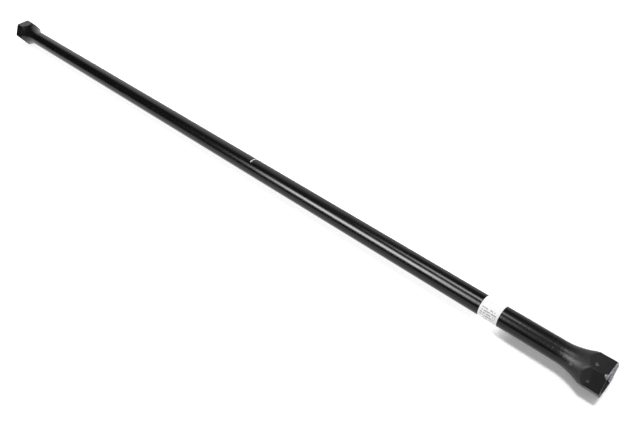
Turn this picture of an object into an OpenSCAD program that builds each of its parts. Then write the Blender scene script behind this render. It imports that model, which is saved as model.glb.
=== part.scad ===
// Double-ended hex-socket breaker bar: a steel tube handle with a forged head welded to each end.
// Millimetres. +X runs along the bar to the front head, +Z is up, and the bar lies on the lower
// flats of its two hexagonal heads. The origin is under the middle of the bar, on that surface.

/* [Handle] */
// Overall length, from end face to end face
bar_l = 1219.2; // [600:0.1:1600]
// Outside diameter of the handle tube
shank_d = 25.4; // [22:0.1:32]
// Wall thickness of the handle tube
wall_t = 4; // [3:0.5:6]

/* [Heads] */
// Outside hexagon of each head, across flats
hex_af = 38.1; // [36:0.1:46]
// Length of full hexagon at the mouth, measured on a corner
hex_l = 18; // [8:0.5:24]
// Radius of the forged sweep from the shank out to the hexagon
flare_r = 70; // [40:1:120]
// Plain round neck between the sweep and the weld
neck_l = 8; // [5:0.5:20]
// Width of the bevel turned on the outer rim of the mouth
rim_bevel = 1.2; // [0.4:0.1:2]

/* [Sockets] */
// Hexagonal socket, across flats
socket_af = 27; // [19:1:30]
// Depth of the hexagonal socket
socket_depth = 24; // [16:1:28]
// Bevel at the socket's mouth, measured past the hexagon's corners
mouth_bevel = 0.8; // [0.2:0.1:1.5]
// Diameter of the clearance bore for a stud, behind the hexagon
stud_d = 20; // [12:0.5:22]
// Length of the clearance bore, before its drilled cone
stud_l = 14; // [8:1:20]

/* [Joints between the tube and the heads] */
// Length of the spigot that goes into the tube
spigot_l = 35; // [20:1:60]
// Width of the weld groove at the surface
weld_w = 4.4; // [3:0.2:8]
// Depth of the weld groove
weld_depth = 2.4; // [1:0.1:2.8]

/* [Label and mark] */
// Width of the wrapped label along the bar
label_w = 24; // [12:1:60]
// Distance from the front end face to the label's nearer edge
label_inset = 121; // [100:1:400]
// Thickness of the label
label_t = 0.25; // [0.1:0.05:0.5]
// Distance from the front end face to the painted centre mark
mark_inset = 531; // [420:1:700]
// Width of the painted centre mark
mark_w = 2; // [1:0.1:6]
// Thickness of the painted centre mark
mark_t = 0.12; // [0.1:0.01:0.3]
// How far round the tube the centre mark reaches, in degrees
mark_span = 70; // [30:5:120]
// Where the middle of the mark is, in degrees back from the top of the tube
mark_turn = 15; // [-30:5:45]

/* [Hidden] */
$fn = 96;
half_l = bar_l / 2;
shank_r = shank_d / 2;
bore_r = shank_r - wall_t;                      // inside of the tube, and the spigot that fills it
hex_r = hex_af / 2 / cos(30);                   // outside hexagon, centre to corner
socket_r = socket_af / 2 / cos(30);             // socket hexagon, centre to corner
mouth_r = socket_r + mouth_bevel;
slack = 0.4;                                    // overlap of a turned outline past the hexagon
mouth_depth = mouth_r - socket_af / 2 + slack;  // a 45 degree bevel, ending just inside the flats
neck_x = hex_l + sweep_length(hex_r);           // where the sweep meets the round neck
sweep_x = neck_x - sweep_length(hex_r + slack); // where the sweep starts, just outside the corners
tube_x = neck_x + neck_l;                       // from an end face to the tube's end
stud_x = socket_depth + stud_l;
drill_tip = stud_d / 2 / tan(59);               // 118 degree drill point
axis_z = hex_af / 2;                            // height of the bar's axis over its resting flats
sweep_steps = 24;
over = 1;                                       // overrun of a cutting tool past a face

// Puts a piece drawn along +X from the origin at the front end face, pointing into the bar.
module at_front() {
    translate([half_l, 0, axis_z]) rotate([0, 0, 180]) children();
}

// The same at the rear end face.
module at_rear() {
    translate([-half_l, 0, axis_z]) children();
}

// Turns a profile of [distance along the bar, radius] points about the bar's axis. The outline
// starts between a flat and a corner, so that no seam runs along a hexagon's edge.
module turned(points) {
    rotate([0, 90, 0]) rotate([0, 0, 15]) rotate_extrude() polygon([for (p = points) [p[1], p[0]]]);
}

// A hexagonal prism along +X, with flats facing up and down.
module hex_prism(corner_r, length) {
    rotate([0, 90, 0]) rotate([0, 0, 30]) cylinder(r = corner_r, h = length, $fn = 6);
}

// Length along the bar in which the forged sweep grows from the shank to radius r.
function sweep_length(r) = sqrt(pow(flare_r, 2) - pow(flare_r - (r - shank_r), 2));

// Radius of the forged sweep at a distance x from the end face.
function sweep_r(x) = shank_r + flare_r - sqrt(flare_r * flare_r - pow(neck_x - x, 2));

// Outline of a head from its axis: bevelled rim, full hexagon, sweep, neck, weld bevel, spigot.
function head_outline() = concat(
    [[0, 0], [0, hex_r - rim_bevel], [rim_bevel, hex_r + slack]],
    [for (i = [0:sweep_steps]) let (x = sweep_x + (neck_x - sweep_x) * i / sweep_steps) [x, sweep_r(x)]],
    [
        [tube_x - weld_w / 2, shank_r],
        [tube_x, shank_r - weld_depth],
        [tube_x, bore_r],
        [tube_x + spigot_l, bore_r],
        [tube_x + spigot_l, 0]
    ]
);

// Broached hexagon, bevelled mouth and drilled stud clearance, seen from the end face.
module socket_tool() {
    translate([-over, 0, 0]) hex_prism(socket_r, socket_depth + over);
    turned([
        [-over, 0],
        [-over, mouth_r + over],
        [mouth_depth, mouth_r - mouth_depth],
        [mouth_depth, stud_d / 2],
        [stud_x, stud_d / 2],
        [stud_x + drill_tip, 0]
    ]);
}

// One forged head: a turned sweep cut to a hexagon, which gives each flat its rounded run-out.
module forged_head() {
    difference() {
        intersection() {
            turned(head_outline());
            translate([-over, 0, 0]) hex_prism(hex_r, tube_x + spigot_l + 2 * over);
        }
        socket_tool();
    }
}

// The vee-groove weld between a head and the tube, dressed flush.
module groove_weld() {
    turned([
        [tube_x - weld_w / 2, shank_r],
        [tube_x, shank_r - weld_depth],
        [tube_x + weld_w / 2, shank_r]
    ]);
}

// A ring around the tube, from x, of the given length and thickness.
module ring(x, length, inner_r, thickness) {
    turned([
        [x, inner_r], [x, inner_r + thickness],
        [x + length, inner_r + thickness], [x + length, inner_r]
    ]);
}

module handle_tube() {
    color("#1b1b1d") translate([0, 0, axis_z]) turned([
        [-half_l + tube_x, bore_r],
        [-half_l + tube_x, shank_r - weld_depth],
        [-half_l + tube_x + weld_w / 2, shank_r],
        [half_l - tube_x - weld_w / 2, shank_r],
        [half_l - tube_x, shank_r - weld_depth],
        [half_l - tube_x, bore_r]
    ]);
}

module front_head() {
    color("#2a2a2c") at_front() forged_head();
}

module rear_head() {
    color("#2a2a2c") at_rear() forged_head();
}

module front_weld() {
    color("#202022") at_front() groove_weld();
}

module rear_weld() {
    color("#202022") at_rear() groove_weld();
}

module label() {
    color("#f2f2f2") at_front() ring(label_inset, label_w, shank_r, label_t);
}

// The part of a ring that is nearest the top, as far down as a level cut.
module centre_mark() {
    cut_z = shank_r * cos(mark_span / 2);
    color("#b5b5b2") at_front() rotate([mark_turn, 0, 0]) intersection() {
        ring(mark_inset - mark_w / 2, mark_w, shank_r, mark_t);
        translate([mark_inset - mark_w, -shank_d, cut_z]) cube([2 * mark_w, 2 * shank_d, shank_r]);
    }
}

handle_tube();
front_head();
rear_head();
front_weld();
rear_weld();
label();
centre_mark();
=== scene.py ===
"""A double-ended hex-socket breaker bar in black enamel, on a pale studio floor.

+X runs along the bar to the front head, +Z is up, and everything is in metres. "Turn" is an angle
round the bar's axis, in radians: 0 looks along -Y, and a quarter turn looks straight up.
"""
import math

import bmesh
import bpy
from mathutils import Matrix, Vector, noise


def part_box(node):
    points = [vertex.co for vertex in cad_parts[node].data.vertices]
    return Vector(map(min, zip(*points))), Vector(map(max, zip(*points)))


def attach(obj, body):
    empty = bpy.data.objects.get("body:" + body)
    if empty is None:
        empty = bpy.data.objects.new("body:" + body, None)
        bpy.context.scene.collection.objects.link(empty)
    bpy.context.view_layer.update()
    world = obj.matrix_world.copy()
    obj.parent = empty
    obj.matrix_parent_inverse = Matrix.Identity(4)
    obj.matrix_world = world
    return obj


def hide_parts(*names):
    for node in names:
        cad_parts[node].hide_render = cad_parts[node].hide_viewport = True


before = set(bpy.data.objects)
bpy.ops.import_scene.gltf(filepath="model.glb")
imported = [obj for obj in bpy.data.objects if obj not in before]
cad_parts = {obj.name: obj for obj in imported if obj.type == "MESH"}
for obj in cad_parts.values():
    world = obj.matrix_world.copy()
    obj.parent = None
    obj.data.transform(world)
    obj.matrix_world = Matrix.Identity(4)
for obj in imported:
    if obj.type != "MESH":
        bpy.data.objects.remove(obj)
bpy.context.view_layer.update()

MM = 0.001
TAU = 2 * math.pi
BODY = "root"

# ---------------------------------------------------------------- places, from the frame
tube_low, tube_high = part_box("handle_tube")
head_low, head_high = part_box("front_head")
weld_low, weld_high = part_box("front_weld")
label_low, label_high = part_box("label")
mark_low, mark_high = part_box("centre_mark")

HALF_L = head_high.x
AXIS_Z = (head_low.z + head_high.z) / 2
SHANK_R = (tube_high.z - tube_low.z) / 2
FLAT_R = (head_high.z - head_low.z) / 2            # hexagon, centre to flat
CORNER_R = FLAT_R / math.cos(math.pi / 6)
HEAD_L = head_high.x - head_low.x                  # end face to the spigot's end
TUBE_X = HALF_L - tube_high.x                      # end face to the tube's end
WELD_W = weld_high.x - weld_low.x

# ---------------------------------------------------------------- sizes of a head
SWEEP_R = 70 * MM
HEX_L = 18 * MM
BORE_R = 8.7 * MM
WELD_DEPTH = 2.4 * MM
RIM_BEVEL = 1.2 * MM
SOCKET_FLAT_R = 13.5 * MM
SOCKET_DEPTH = 24 * MM
MOUTH_BEVEL = 0.8 * MM
STUD_R = 10 * MM
STUD_DEPTH = 38 * MM
DRILL_TIP = 6 * MM
BARE_SIDE_TURN = math.radians(57)                       # the mouth's face is bare steel from here to half a turn on, and mostly painted on the rest
# Painted highlights on the front head, lighter paint where glints of the softboxes fall: distance from the
# end face, turn, size
PAINTED_HIGHLIGHTS = [
    (36 * MM, math.radians(31), 4.5 * MM),
    (14.5 * MM, math.radians(76), 4.5 * MM),
    (14.5 * MM, math.radians(17), 4.0 * MM),
]
EDGE_ROUND = 0.9 * MM                              # forged rounding along the hexagon's edges
RUNOUT_ROUND = 0.5 * MM                            # rounding where the sweep meets a flat


# ---------------------------------------------------------------- mesh helpers
def ring_mesh(name, rows, turns, closed=True):
    """A closed skin from rows of (x, radius function of turn). A radius of None is a pole on the axis."""
    mesh = bmesh.new()
    loops = []
    for x, radius in rows:
        if radius is None:
            loops.append([mesh.verts.new((x, 0, AXIS_Z))])
            continue
        loops.append([mesh.verts.new(point_at(x, radius(t), t)) for t in turns])
    pairs = list(zip(loops, loops[1:]))
    if closed:
        pairs.append((loops[-1], loops[0]))
    count = len(turns)
    for a, b in pairs:
        for i in range(count):
            j = (i + 1) % count
            if len(a) == 1 and len(b) == 1:
                continue
            if len(a) == 1:
                mesh.faces.new((a[0], b[j], b[i]))
            elif len(b) == 1:
                mesh.faces.new((a[i], a[j], b[0]))
            else:
                mesh.faces.new((a[i], a[j], b[j], b[i]))
    bmesh.ops.recalc_face_normals(mesh, faces=mesh.faces)
    return finish_mesh(name, mesh)


def point_at(x, radius, turn):
    return Vector((x, -radius * math.cos(turn), AXIS_Z + radius * math.sin(turn)))


def finish_mesh(name, mesh):
    data = bpy.data.meshes.new(name)
    for face in mesh.faces:
        face.smooth = True
    mesh.to_mesh(data)
    mesh.free()
    piece = bpy.data.objects.new(name, data)
    bpy.context.scene.collection.objects.link(piece)
    return piece


def even_turns(count):
    return [TAU * i / count for i in range(count)]


def hexagon_turns():
    """Turns round the bar that lie closest together at the hexagon's corners, where it is rounded."""
    offsets = [0, 0.7, 1.4, 2.2, 3.2, 4.5, 6.5, 9, 12, 15.5, 19, 22.5, 26]
    sector = offsets + [30] + [60 - v for v in reversed(offsets[1:])]
    return [math.radians(60 * k + v) for k in range(6) for v in sector]


def smooth_min(a, b, width):
    """The smaller of two lengths, blended over about width where they are nearly equal."""
    gap = max(width - abs(a - b), 0) / width
    return min(a, b) - gap * gap * width / 4


def hexagon_radius(turn, flat_r, rounding):
    """Distance from the axis to a hexagon with flats up and down and corners rounded by that radius."""
    off_flat = (turn - math.pi / 2 + math.pi / 6) % (math.pi / 3) - math.pi / 6
    other = math.pi / 3 - abs(off_flat)
    return smooth_min(
        flat_r / math.cos(off_flat), flat_r / max(math.cos(other), 0.2), rounding
    )


def store(piece, name, value):
    """Keeps value(vertex position) on the mesh, for a material to read."""
    layer = piece.data.attributes.new(name, "FLOAT", "POINT")
    layer.data.foreach_set("value", [value(v.co) for v in piece.data.vertices])


# ---------------------------------------------------------------- node helpers
class Nodes:
    """Adds nodes to one material or world, a line each."""

    def __init__(self, tree):
        self.tree = tree

    def add(self, kind, inputs=None, **settings):
        node = self.tree.nodes.new(kind)
        for key, value in settings.items():
            setattr(node, key, value)
        for key, value in (inputs or {}).items():
            self.put(node.inputs[key], value)
        return node

    def put(self, socket, value):
        if isinstance(value, bpy.types.NodeSocket):
            self.tree.links.new(value, socket)
        else:
            socket.default_value = value

    def math(self, operation, *values, clamp=False):
        node = self.add("ShaderNodeMath", operation=operation, use_clamp=clamp)
        for i, value in enumerate(values):
            self.put(node.inputs[i], value)
        return node.outputs[0]

    def step(self, value, low, high, smooth=True):
        """0 below low and 1 above high; low may be the larger one."""
        kind = "SMOOTHSTEP" if smooth else "LINEAR"
        node = self.add("ShaderNodeMapRange", interpolation_type=kind, clamp=True)
        self.put(node.inputs["Value"], value)
        node.inputs["From Min"].default_value = min(low, high)
        node.inputs["From Max"].default_value = max(low, high)
        node.inputs["To Min"].default_value = 0.0 if low < high else 1.0
        node.inputs["To Max"].default_value = 1.0 if low < high else 0.0
        return node.outputs[0]

    def scaled(self, value, low, high):
        node = self.add("ShaderNodeMapRange", clamp=True)
        self.put(node.inputs["Value"], value)
        node.inputs["To Min"].default_value = low
        node.inputs["To Max"].default_value = high
        return node.outputs[0]

    def noise(self, where, scale, detail=3.0, roughness=0.55):
        node = self.add("ShaderNodeTexNoise", {"Scale": scale, "Detail": detail, "Roughness": roughness})
        self.put(node.inputs["Vector"], where)
        return node.outputs["Fac"]

    def mix(self, factor, a, b):
        node = self.add("ShaderNodeMix", data_type="RGBA")
        self.put(node.inputs[0], factor)
        self.put(node.inputs[6], a)
        self.put(node.inputs[7], b)
        return node.outputs[2]

    def attribute(self, name):
        return self.add("ShaderNodeAttribute", attribute_name=name).outputs["Fac"]

    def bump(self, height, strength, distance, below=None):
        node = self.add("ShaderNodeBump", {"Strength": strength, "Distance": distance, "Height": height})
        if below is not None:
            self.put(node.inputs["Normal"], below)
        return node.outputs["Normal"]


def new_material(name):
    material = bpy.data.materials.new(name)
    material.use_nodes = True
    nodes = Nodes(material.node_tree)
    shader = material.node_tree.nodes["Principled BSDF"]
    place = nodes.add("ShaderNodeTexCoord").outputs["Object"]
    return material, nodes, shader, place


def stretched(nodes, place, along, across):
    """The place scaled along and across the bar, for streaks."""
    factors = (along, across, across)
    return nodes.add("ShaderNodeVectorMath", {0: place, 1: factors}, operation="MULTIPLY").outputs[0]


def turn_node(nodes, y, z):
    """The turn of a place or direction, from its y and its height over the bar's axis."""
    return nodes.math("ARCTAN2", z, nodes.math("MULTIPLY", y, -1))


def grey(value, blue=0.0):
    return (value, value, value * (1 + blue), 1)


# ---------------------------------------------------------------- materials
def enamel_material(name="black_enamel"):
    """Semi-gloss black enamel over drawn tube: faint orange peel, dull patches, fine scratches and dust."""
    material, nodes, shader, place = new_material(name)
    patches = nodes.noise(stretched(nodes, place, 14, 60), 1.0)
    dust = nodes.step(nodes.noise(place, 1900, 2.0), 0.66, 0.8)
    scratch = nodes.noise(stretched(nodes, place, 45, 1500), 1.0, 1.0)
    scratches = nodes.math("MULTIPLY", nodes.step(scratch, 0.7, 0.76), nodes.step(patches, 0.45, 0.6))
    tone = nodes.mix(patches, grey(0.003), grey(0.006, 0.03))
    tone = nodes.mix(nodes.math("MULTIPLY", dust, 0.25), tone, grey(0.09))
    tone = nodes.mix(nodes.math("MULTIPLY", scratches, 0.3), tone, grey(0.08))
    nodes.put(shader.inputs["Base Color"], tone)
    dusty = nodes.math("MULTIPLY", dust, 0.2)
    rough = nodes.math("ADD", nodes.scaled(patches, 0.15, 0.25), dusty, clamp=True)
    nodes.put(shader.inputs["Roughness"], rough)
    peel = nodes.bump(nodes.noise(place, 330, 2.0), 0.12, 0.0004)
    nodes.put(shader.inputs["Normal"], nodes.bump(scratches, 0.15, 0.00005, below=peel))
    shader.inputs["IOR"].default_value = 1.5
    return material


def forged_material(name="forged_enamel"):
    """The same enamel over forging scale, dull or worn to steel where the mesh says so, and lighter as
    painted highlights where it says so.
    """
    material, nodes, shader, place = new_material(name)
    wear = nodes.attribute("wear")
    inside = nodes.attribute("inside")
    lumps = nodes.noise(place, 95, 4.0, 0.6)
    pits = nodes.noise(place, 480, 3.0, 0.6)
    chips = nodes.noise(place, 620, 4.0, 0.65)
    scatter = nodes.math("MULTIPLY", nodes.math("SUBTRACT", chips, 0.5), 1.1)
    bare = nodes.step(nodes.math("ADD", wear, scatter), 0.46, 0.58)
    # Painted highlights: the paint turns lighter grey along the run-out arcs and in spots on the front
    # head.
    painted_glints = nodes.step(nodes.math("ADD", nodes.attribute("painted_glint"), scatter), 0.3, 0.5)
    paint = nodes.mix(lumps, grey(0.003), grey(0.009, 0.03))
    paint = nodes.mix(painted_glints, paint, grey(0.085, 0.03))
    steel = nodes.mix(nodes.step(chips, 0.35, 0.65), grey(0.3, 0.06), grey(0.75, 0.07))
    scale = nodes.mix(pits, (0.012, 0.011, 0.01, 1), (0.03, 0.027, 0.025, 1))
    nodes.put(shader.inputs["Base Color"], nodes.mix(bare, nodes.mix(inside, paint, scale), steel))
    nodes.put(shader.inputs["Metallic"], nodes.math("MAXIMUM", bare, nodes.math("MULTIPLY", inside, 0.6)))
    dull = nodes.attribute("dull")
    duller = nodes.math("MULTIPLY", nodes.math("MAXIMUM", dull, painted_glints), 0.3)
    paint_rough = nodes.math("ADD", nodes.scaled(lumps, 0.15, 0.25), duller, clamp=True)
    steel_rough = nodes.scaled(chips, 0.3, 0.5)
    rough = nodes.add("ShaderNodeMix", {0: bare, 2: paint_rough, 3: steel_rough}, data_type="FLOAT")
    nodes.put(shader.inputs["Roughness"], rough.outputs[0])
    coarse = nodes.bump(lumps, nodes.scaled(dull, 0.1, 0.4), 0.0012)
    fine = nodes.bump(pits, 0.25, 0.0004, below=coarse)
    nodes.put(shader.inputs["Normal"], nodes.bump(bare, 0.35, -0.00012, below=fine))
    shader.inputs["IOR"].default_value = 1.5
    return material


def label_material():
    """White vinyl with rows of short grey dashes on one side, in place of print."""
    material, nodes, shader, place = new_material("label_vinyl")
    split = nodes.add("ShaderNodeSeparateXYZ", {0: place}).outputs
    turn = turn_node(nodes, split["Y"], nodes.math("SUBTRACT", split["Z"], AXIS_Z))
    row = nodes.math("DIVIDE", nodes.math("SUBTRACT", turn, PRINT_TURN), PRINT_PITCH)
    in_row = nodes.math("FRACT", row)
    line = nodes.math("MULTIPLY", nodes.step(in_row, 0.2, 0.32), nodes.step(in_row, 0.78, 0.66))
    block = nodes.math("MULTIPLY", nodes.step(row, 0, 0.01), nodes.step(row, PRINT_ROWS, PRINT_ROWS - 0.01))
    cell = nodes.math("FLOOR", nodes.math("MULTIPLY", split["X"], 1 / PRINT_CELL))
    spread = nodes.add("ShaderNodeCombineXYZ", {"X": cell, "Y": nodes.math("FLOOR", row)}).outputs[0]
    chance = nodes.add("ShaderNodeTexWhiteNoise", {"Vector": spread}, noise_dimensions="2D")
    dash = nodes.step(chance.outputs["Value"], 0.26, 0.3)
    middle = (label_low.x + label_high.x) / 2
    off = nodes.math("ABSOLUTE", nodes.math("SUBTRACT", split["X"], middle))
    reach = (label_high.x - label_low.x) / 2 - PRINT_MARGIN
    within = nodes.step(off, reach + 0.1 * MM, reach)
    ink = nodes.math("MULTIPLY", nodes.math("MULTIPLY", line, block), nodes.math("MULTIPLY", dash, within))
    grime = nodes.noise(place, 160, 4.0)
    paper = nodes.mix(nodes.step(grime, 0.5, 0.85), grey(0.9), grey(0.78))
    nodes.put(shader.inputs["Base Color"], nodes.mix(nodes.math("MULTIPLY", ink, 0.85), paper, grey(0.3)))
    nodes.put(shader.inputs["Roughness"], nodes.scaled(grime, 0.38, 0.55))
    creases = nodes.bump(nodes.noise(stretched(nodes, place, 40, 160), 1.0), 0.25, 0.0005)
    nodes.put(shader.inputs["Normal"], creases)
    return material


def mark_material():
    """Thin pale paint, rubbed through in places."""
    material, nodes, shader, place = new_material("mark_paint")
    rubbed = nodes.step(nodes.noise(place, 900, 3.0), 0.6, 0.75)
    nodes.put(shader.inputs["Base Color"], nodes.mix(rubbed, grey(0.85), grey(0.5)))
    nodes.put(shader.inputs["Roughness"], nodes.scaled(rubbed, 0.5, 0.35))
    nodes.put(shader.inputs["Normal"], nodes.bump(rubbed, 0.3, -0.00005))
    return material


def floor_material():
    """A matt white floor with a painted glow, weakest at the front head, that washes out the key light's
    shadow everywhere else.
    """
    material, nodes, shader, place = new_material("studio_floor")
    fibre = nodes.noise(place, 30, 4.0)
    nodes.put(shader.inputs["Base Color"], nodes.mix(fibre, grey(0.84), grey(0.88)))
    shader.inputs["Roughness"].default_value = 0.9
    along = nodes.add("ShaderNodeSeparateXYZ", {0: place}).outputs["X"]
    shader.inputs["Emission Color"].default_value = (1, 1, 1, 1)
    # Painted light: the floor glows more away from the front head, so the key light's shadow shows only
    # there.
    glow = nodes.scaled(nodes.step(along, label_high.x + 20 * MM, label_low.x), 0.2, 0.8)
    nodes.put(shader.inputs["Emission Strength"], glow)
    return material


# ---------------------------------------------------------------- pieces
PRINT_TURN = math.radians(-26)                     # turn at the lowest row of the label's print
PRINT_PITCH = math.radians(13.5)                   # from one row to the next
PRINT_ROWS = 6
PRINT_CELL = 1.3 * MM                              # dashes are whole numbers of these
PRINT_MARGIN = 2.6 * MM                            # blank edge each side of the print
SEAM_TURN = math.radians(235)                      # where the label overlaps itself
MARK_FROM = math.radians(70.5)                     # turns between which the mark is painted
MARK_TO = math.radians(139.5)


def head_rows():
    """A head's skin as (distance from the end face, radius function), from the drilled tip outwards."""
    neck_x = HEX_L + sweep_length(CORNER_R)

    def round_row(x, radius):
        return x, lambda turn: radius

    def socket_row(x, grown):
        return x, lambda turn: hexagon_radius(turn, SOCKET_FLAT_R, 0.5 * MM) + grown

    def mouth_row(x):
        cone = SOCKET_FLAT_R / math.cos(math.pi / 6) + MOUTH_BEVEL - x
        return x, lambda turn: max(hexagon_radius(turn, SOCKET_FLAT_R, 0.5 * MM), cone)

    def rim_row(x, inset):
        return x, lambda turn: end_face_radius(turn, inset)

    def outside_row(x):
        def radius(turn):
            flat = hexagon_radius(turn, FLAT_R, EDGE_ROUND)
            return smooth_min(flat, sweep_radius(x, neck_x), RUNOUT_ROUND)

        return x, radius

    rows = [(STUD_DEPTH + DRILL_TIP, None), round_row(STUD_DEPTH + 0.3 * MM, STUD_R - 0.5 * MM)]
    rows += [round_row(STUD_DEPTH, STUD_R), round_row(SOCKET_DEPTH + 0.2 * MM, STUD_R)]
    rows += [round_row(SOCKET_DEPTH, STUD_R + 0.3 * MM), socket_row(SOCKET_DEPTH, -0.4 * MM)]
    rows += [socket_row(SOCKET_DEPTH - 0.4 * MM, 0)]
    rows += [socket_row(x * MM, 0) for x in (18, 12, 7, 4)]
    rows += [mouth_row(x * MM) for x in (2.9, 2.4, 1.9, 1.4, 0.9, 0.4, 0.1)]
    face_in = SOCKET_FLAT_R / math.cos(math.pi / 6) + MOUTH_BEVEL
    rows += [round_row(0, face_in + v * MM) for v in (0.1, 0.5, 1.0)]
    rows += [rim_row(0, 0.9 * MM), rim_row(0.05 * MM, 0.35 * MM)]
    rows += [rim_row(0.22 * MM, 0.1 * MM), rim_row(0.5 * MM, 0)]
    steps = 96
    for i in range(steps + 1):
        rows.append(outside_row(1.0 * MM + (neck_x - 1.0 * MM) * i / steps))
    rows += [round_row(neck_x + 2 * MM, SHANK_R), round_row(TUBE_X - WELD_W / 2 - 0.2 * MM, SHANK_R)]
    rows += [round_row(TUBE_X - WELD_W / 2, SHANK_R), round_row(TUBE_X, SHANK_R - WELD_DEPTH)]
    rows += [round_row(TUBE_X, BORE_R), round_row(HEAD_L, BORE_R), (HEAD_L, None)]
    return rows


def sweep_length(radius):
    return math.sqrt(SWEEP_R ** 2 - (SWEEP_R - (radius - SHANK_R)) ** 2)


def sweep_radius(x, neck_x):
    """Radius of the forged sweep at a distance from the end face; beyond the neck it is the shank's."""
    back = min(max(neck_x - x, 0), 0.99 * SWEEP_R)
    return SHANK_R + SWEEP_R - math.sqrt(SWEEP_R ** 2 - back ** 2)


def end_face_radius(turn, inset):
    """The rim of the mouth: the hexagon with its corners turned off by the bevel."""
    flat = hexagon_radius(turn, FLAT_R, EDGE_ROUND)
    return smooth_min(flat, CORNER_R - RIM_BEVEL + 0.6 * MM, RUNOUT_ROUND) - inset


def forged_head(name, end, seed):
    """One head. end is 1 at the front and -1 at the rear, and seed moves its forging marks."""
    rows = [(end * (HALF_L - x), radius) for x, radius in head_rows()]
    piece = ring_mesh(name, rows, hexagon_turns(), closed=False)
    rough_forge(piece, end, seed)
    wear_head(piece, end)
    return piece


def rough_forge(piece, end, seed):
    """Moves the forged skin in and out a little. The socket, end face and spigot stay true."""
    for vertex in piece.data.vertices:
        x = HALF_L - abs(vertex.co.x)
        out = Vector((0, vertex.co.y, vertex.co.z - AXIS_Z))
        if out.length < SHANK_R - 0.1 * MM or x < 0.8 * MM or x > TUBE_X - WELD_W:
            continue
        if x < SOCKET_DEPTH + 1 * MM and out.length < FLAT_R - 1.2 * MM:
            continue
        fade = min((x - 0.8 * MM) / (3 * MM), (TUBE_X - WELD_W - x) / (30 * MM), 1 if end > 0 else 0.6)
        at = Vector((vertex.co.x, vertex.co.y, vertex.co.z)) * 110 + Vector((seed, 0, 0))
        low = noise.noise(at) * 0.16 * MM
        fine = noise.noise(at * 3.1) * 0.05 * MM
        vertex.co += out.normalized() * (low + fine - 0.08 * MM) * fade


def wear_head(piece, end):
    """Stores where a head's paint is worn through or dull, where it is lightened as painted highlight, and
    which of its skin is inside.
    """
    socket_corner = SOCKET_FLAT_R / math.cos(math.pi / 6)
    neck_x = HEX_L + sweep_length(CORNER_R)

    def wear(co):
        x = HALF_L - abs(co.x)
        radius = math.hypot(co.y, co.z - AXIS_Z)
        turn = math.atan2(co.z - AXIS_Z, -co.y)
        corner = abs((turn + math.pi / 6) % (math.pi / 3) - math.pi / 6)
        near_corner = max(0, 1 - corner / 0.07) if radius > FLAT_R else 0
        # The mouth's face is bare steel on its upper side and mostly painted on its lower side, so it reads
        # bright above and dark below.
        side = radius * math.sin(turn - BARE_SIDE_TURN) / CORNER_R
        share = min(max((side + 0.12) / 0.24, 0), 1)
        depth = 3.5 * MM if radius < socket_corner + MOUTH_BEVEL else 1.1 * MM
        face = max(0, min(1, 2 - 2 * x / depth))
        chipped = max(0, 1 - abs(turn - math.pi / 3) / 0.25) if radius > FLAT_R - 1 * MM else 0
        chip = chipped * max(0, 1 - x / (5.5 * MM))
        edge = 0.3 * near_corner * max(0, 1 - x / (30 * MM))
        low_side = 0.24 if end > 0 else 0.45
        return max(face * (low_side + (0.92 - low_side) * share), edge, 1.1 * chip)

    def inside(co):
        x = HALF_L - abs(co.x)
        radius = math.hypot(co.y, co.z - AXIS_Z)
        beyond_rim = x > 0.3 * MM and radius < socket_corner + MOUTH_BEVEL - 0.1 * MM
        return 1.0 if beyond_rim and x < STUD_DEPTH + DRILL_TIP and is_bore(x, radius) else 0.0

    def dull(co):
        x = HALF_L - abs(co.x)
        flare = min(max((neck_x + 4 * MM - x) / (32 * MM), 0), 1)
        flat = min(max((x - HEX_L) / (-6 * MM), 0), 1)
        return flare * (1 - 0.45 * flat) if end > 0 else 0.0

    def painted_glint(co):
        x = HALF_L - abs(co.x)
        turn = math.atan2(co.z - AXIS_Z, -co.y)
        gap = abs(hexagon_radius(turn, FLAT_R, EDGE_ROUND) - sweep_radius(x, neck_x))
        # Painted highlight along the run-out arcs where the sweep meets a flat, and on the front head in
        # listed spots.
        runout = 0.3 * max(0, 1 - gap / (0.6 * MM)) if x > HEX_L / 3 else 0
        return max(runout, max(painted_highlight(co, *place) for place in PAINTED_HIGHLIGHTS)) if end > 0 else runout / 2

    store(piece, "wear", wear)
    store(piece, "painted_glint", painted_glint)
    store(piece, "inside", inside)
    store(piece, "dull", dull)


def painted_highlight(co, x, turn, size):
    """How much one painted highlight lightens a point of the front head."""
    middle = point_at(HALF_L - x, math.hypot(co.y, co.z - AXIS_Z), turn)
    return 0.6 * max(0, 1 - (co - middle).length / size)


def is_bore(x, radius):
    """Whether a point of a head's skin is on the socket or bore, and not on the outside of the neck."""
    return x < SOCKET_DEPTH + 0.5 * MM or radius < STUD_R + 0.5 * MM


def handle_tube():
    """The tube, with its bore and bevelled ends."""
    end = HALF_L - TUBE_X
    groove = WELD_W / 2
    out = [-end + groove + (2 * end - 2 * groove) * i / 40 for i in range(41)]
    rows = [(-end, lambda t: BORE_R), (-end, lambda t: SHANK_R - WELD_DEPTH)]
    rows += [(x, lambda t: SHANK_R) for x in out]
    rows += [(end, lambda t: SHANK_R - WELD_DEPTH), (end, lambda t: BORE_R)]
    piece = ring_mesh("tube_skin", rows, even_turns(120))
    piece.data.set_sharp_from_angle(angle=math.radians(30))
    return piece


def groove_weld(name, end):
    """The dressed weld between a head and the tube: a filled vee with a faint ground ripple."""
    middle = HALF_L - TUBE_X
    count = 24
    rows = [(end * middle, lambda t: SHANK_R - WELD_DEPTH)]
    for i in range(count + 1):
        share = i / count
        x = middle - WELD_W / 2 + WELD_W * share
        crown = 0.008 * MM * math.sin(math.pi * share)

        def radius(turn, x=x, crown=crown):
            ripple = noise.noise(Vector((x * 900, 5 * math.cos(turn), 5 * math.sin(turn))))
            return SHANK_R + crown * (1 + 0.7 * ripple)

        rows.append((end * x, radius))
    return ring_mesh(name, rows, even_turns(120))


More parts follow.
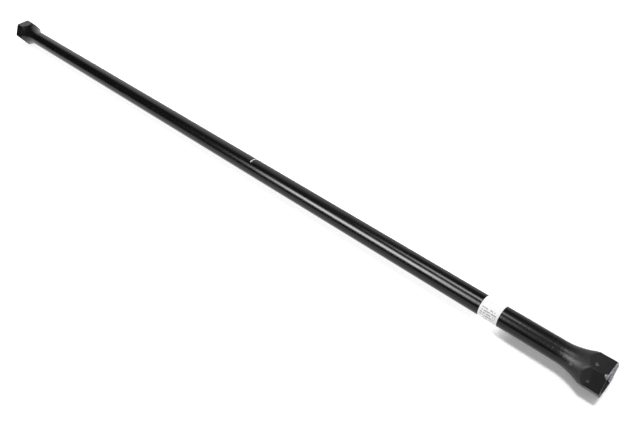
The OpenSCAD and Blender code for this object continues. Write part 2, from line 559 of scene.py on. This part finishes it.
def label_piece():
    """The wrapped label: a thin sleeve with softly curled edges and a lapped seam at the back."""
    thick = label_high.z - tube_high.z
    length = label_high.x - label_low.x

    def outer(x):
        def radius(turn):
            behind = (turn - SEAM_TURN) % TAU
            lap = 0.35 * thick * max(0, 1 - behind / 0.02) if behind < 0.02 else 0
            lapped = 0.35 * thick if behind > TAU - 0.35 else 0
            wave = 0.12 * thick * noise.noise(Vector((x * 260, 3 * math.cos(turn), 3 * math.sin(turn))))
            return SHANK_R + thick * 0.62 + max(lap, lapped) + wave

        return radius

    rows = [(label_low.x, lambda t: SHANK_R + 0.02 * MM)]
    rows += [(label_low.x + 0.02 * MM, lambda t: SHANK_R + thick * 0.4)]
    count = 30
    for i in range(count + 1):
        x = label_low.x + 0.08 * MM + (length - 0.16 * MM) * i / count
        rows.append((x, outer(x)))
    rows += [(label_high.x - 0.02 * MM, lambda t: SHANK_R + thick * 0.4)]
    rows += [(label_high.x, lambda t: SHANK_R + 0.02 * MM)]
    return ring_mesh("label_sleeve", rows, even_turns(180))


def mark_piece():
    """The painted centre mark: a thin arc over the top of the tube, ragged at its edges."""
    thick = 0.1 * MM
    width = mark_high.x - mark_low.x
    middle = (mark_high.x + mark_low.x) / 2
    count = 60
    mesh = bmesh.new()
    rows = []
    for i in range(count + 1):
        turn = MARK_FROM + (MARK_TO - MARK_FROM) * i / count
        fade = min(1, 12 * min(i, count - i) / count + 0.3)
        half = width / 2 * (0.8 + 0.2 * noise.noise(Vector((turn * 9, 1, 2)))) * fade
        shift = 0.12 * MM * noise.noise(Vector((turn * 5, 7, 3)))
        corners = []
        for x, r in ((-half, 0.0), (-half * 0.9, thick), (half * 0.9, thick), (half, 0.0)):
            corners.append(mesh.verts.new(point_at(middle + shift + x, SHANK_R + 0.01 * MM + r, turn)))
        rows.append(corners)
    for a, b in zip(rows, rows[1:]):
        for k in range(4):
            m = (k + 1) % 4
            mesh.faces.new((a[k], a[m], b[m], b[k]))
    mesh.faces.new(rows[0])
    mesh.faces.new(list(reversed(rows[-1])))
    bmesh.ops.recalc_face_normals(mesh, faces=mesh.faces)
    return finish_mesh("centre_mark_paint", mesh)


def dress(piece, material, slot, *nodes):
    """Gives a piece its material, and lets it ride in place of the CAD nodes it stands for."""
    piece.data.materials.clear()
    piece.data.materials.append(material)
    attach(piece, BODY)
    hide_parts(*nodes)


def build_bar():
    enamel = enamel_material()
    forged = forged_material()
    dress(handle_tube(), enamel, "handle_paint", "handle_tube")
    dress(forged_head("front_head_forging", 1, 3.0), forged, "head_paint", "front_head")
    dress(forged_head("rear_head_forging", -1, 11.0), forged, "head_paint", "rear_head")
    dress(groove_weld("front_weld_bead", 1), enamel, "handle_paint", "front_weld")
    dress(groove_weld("rear_weld_bead", -1), enamel, "handle_paint", "rear_weld")
    dress(label_piece(), label_material(), "label_vinyl", "label")
    dress(mark_piece(), mark_material(), "mark_paint", "centre_mark")


# ---------------------------------------------------------------- studio
def build_floor():
    """The glowing white floor. Glossy paint sees the studio below the horizon instead of it."""
    mesh = bmesh.new()
    bmesh.ops.create_circle(mesh, cap_ends=True, segments=96, radius=30)
    floor = finish_mesh("studio_floor", mesh)
    floor.data.materials.append(floor_material())
    floor.visible_glossy = False


def build_key_light():
    """A broad overhead light for the floor, its shadow and the matt label."""
    data = bpy.data.lights.new("key", "SUN")
    data.energy = KEY_STRENGTH
    data.angle = KEY_ANGLE
    key = bpy.data.objects.new("key", data)
    key.rotation_euler = (KEY_LEAN, 0, 0)
    key.visible_glossy = False
    bpy.context.scene.collection.objects.link(key)


# Softboxes face the bar's axis from the same distance, and only gloss sees them. "low" and "high" are
# turns in degrees and "near" and "far" are places along the bar, each from where its edge starts.
SOFTBOX_DISTANCE = 0.8
SOFTBOXES = [
    {"low": (23, 39), "high": (62, 46), "near": (0.35, 0.02), "far": (-0.63, -0.32), "radiance": 15.5},
    {"low": (75, 86), "high": (101, 90), "near": (0.40, 0.13), "far": (-0.16, 0.30), "radiance": 13.5},
]


def softbox(name, box):
    """A curved panel of soft-edged light."""
    low, high = box["low"][0], box["high"][0]
    near, far = box["near"][0], box["far"][0]
    mesh = bmesh.new()
    count = 12
    rows = []
    for i in range(count + 1):
        turn = math.radians(low + (high - low) * i / count)
        rows.append([mesh.verts.new(point_at(x, SOFTBOX_DISTANCE, turn)) for x in (far, near)])
    for a, b in zip(rows, rows[1:]):
        mesh.faces.new((a[0], a[1], b[1], b[0]))
    panel = finish_mesh(name, mesh)
    panel.data.materials.append(softbox_material(name + "_light", box))
    panel.visible_camera = False
    panel.visible_diffuse = False
    panel.visible_shadow = False


def softbox_material(name, box):
    material = bpy.data.materials.new(name)
    material.use_nodes = True
    nodes = Nodes(material.node_tree)
    material.node_tree.nodes.clear()
    place = nodes.add("ShaderNodeTexCoord").outputs["Object"]
    split = nodes.add("ShaderNodeSeparateXYZ", {0: place}).outputs
    turn = turn_node(nodes, split["Y"], nodes.math("SUBTRACT", split["Z"], AXIS_Z))
    turn = nodes.math("MULTIPLY", turn, 180 / math.pi)
    across = nodes.math("MULTIPLY", nodes.step(turn, *box["low"]), nodes.step(turn, *box["high"]))
    x = split["X"]
    reach = nodes.math("MULTIPLY", nodes.step(x, *box["near"]), nodes.step(x, *box["far"]))
    strength = nodes.math("MULTIPLY", nodes.math("MULTIPLY", across, reach), box["radiance"])
    glow = nodes.add("ShaderNodeEmission", {"Color": (1, 1, 1, 1), "Strength": strength})
    nodes.add("ShaderNodeOutputMaterial", {"Surface": glow.outputs[0]})
    return material


# Broad pale areas of the studio, as directions round the bar: "low" and "high" are turns in degrees,
# and "near" and "far" are shares along -X, each from where its edge starts.
PALE_AREAS = [
    {"low": (10, 40), "high": (124, 100), "near": (-1.2, -1.1), "far": (0.33, 0.12), "radiance": 0.5},
    {"low": (100, 115), "high": (168, 145), "near": (-1.2, -1.1), "far": (0.145, 0.09), "radiance": 0.6},
]
KEY_STRENGTH = 2.3                                 # of the key light, in watts per square metre
KEY_ANGLE = math.radians(12)                       # its width, which softens the shadow
KEY_LEAN = math.radians(-4)                        # its lean away from straight overhead
DARK = 0.01                                        # radiance of the studio's dark side
BACK_WALL = 0.75                                   # radiance of the pale wall behind
LOWER = 0.78                                       # radiance of the pale surfaces below the horizon


def build_world():
    """A studio as seen from the bar: a pale wall behind and a dark room in front, with pale areas."""
    world = bpy.data.worlds.new("studio")
    world.use_nodes = True
    bpy.context.scene.world = world
    nodes = Nodes(world.node_tree)
    world.node_tree.nodes.clear()
    direction = nodes.add("ShaderNodeTexCoord").outputs["Generated"]
    split = nodes.add("ShaderNodeSeparateXYZ", {0: direction}).outputs
    turn = turn_node(nodes, split["Y"], split["Z"])
    turn = nodes.math("MULTIPLY", turn, 180 / math.pi)
    along = nodes.math("MULTIPLY", split["X"], -1)
    shift = nodes.scaled(nodes.step(along, 0.3, 0.7), 42.0, 0.0)
    wall = nodes.step(nodes.math("SUBTRACT", turn, shift), 88, 127)
    wall_glow = nodes.scaled(nodes.step(along, 0.12, 0.32), 0.3 * BACK_WALL, BACK_WALL)
    wall = nodes.math("MULTIPLY", wall, wall_glow)
    lower = nodes.scaled(nodes.step(along, 0.05, 0.25), 0.6 * LOWER, LOWER)
    drop = nodes.scaled(nodes.step(along, 0.83, 0.87), 0.0, 7.0)
    lower = nodes.math("MULTIPLY", nodes.step(nodes.math("ADD", turn, drop), 2, -9), lower)
    total = nodes.math("ADD", nodes.math("MAXIMUM", wall, lower), DARK)
    for area in PALE_AREAS:
        across = nodes.math("MULTIPLY", nodes.step(turn, *area["low"]), nodes.step(turn, *area["high"]))
        reach = nodes.math("MULTIPLY", nodes.step(along, *area["near"]), nodes.step(along, *area["far"]))
        pale = nodes.math("MULTIPLY", nodes.math("MULTIPLY", across, reach), area["radiance"])
        total = nodes.math("ADD", total, pale)
    glow = nodes.add("ShaderNodeBackground", {"Color": (1, 1, 1, 1), "Strength": total})
    seen = nodes.add("ShaderNodeBackground", {"Color": (1, 1, 1, 1), "Strength": 1.0})
    is_camera = nodes.add("ShaderNodeLightPath").outputs["Is Camera Ray"]
    mixed = nodes.add("ShaderNodeMixShader", {0: is_camera, 1: glow.outputs[0], 2: seen.outputs[0]})
    nodes.add("ShaderNodeOutputWorld", {"Surface": mixed.outputs[0]})


CAMERA_PLACE = (0.6758, -0.4271, 0.5963)
CAMERA_AZIMUTH = 47.49
CAMERA_ELEVATION = 43.01
CAMERA_ROLL = -5.39
LENS = 36.295
SENSOR = 36.0


def build_camera():
    data = bpy.data.cameras.new("camera")
    data.lens = LENS
    data.sensor_width = SENSOR
    data.clip_start = 0.01
    data.clip_end = 100
    camera = bpy.data.objects.new("camera", data)
    bpy.context.scene.collection.objects.link(camera)
    a, e = math.radians(CAMERA_AZIMUTH), math.radians(CAMERA_ELEVATION)
    back = Vector((math.sin(a) * math.cos(e), -math.cos(a) * math.cos(e), math.sin(e)))
    turn = (-back).to_track_quat("-Z", "Y").to_matrix().to_4x4()
    roll = Matrix.Rotation(math.radians(CAMERA_ROLL), 4, "Z")
    camera.matrix_world = Matrix.Translation(CAMERA_PLACE) @ turn @ roll
    bpy.context.scene.camera = camera


build_camera()
build_bar()
build_floor()
build_key_light()
for number, softbox_sizes in enumerate(SOFTBOXES, 1):
    softbox(f"softbox_{number}", softbox_sizes)
build_world()
bpy.context.scene.view_settings.view_transform = "Standard"
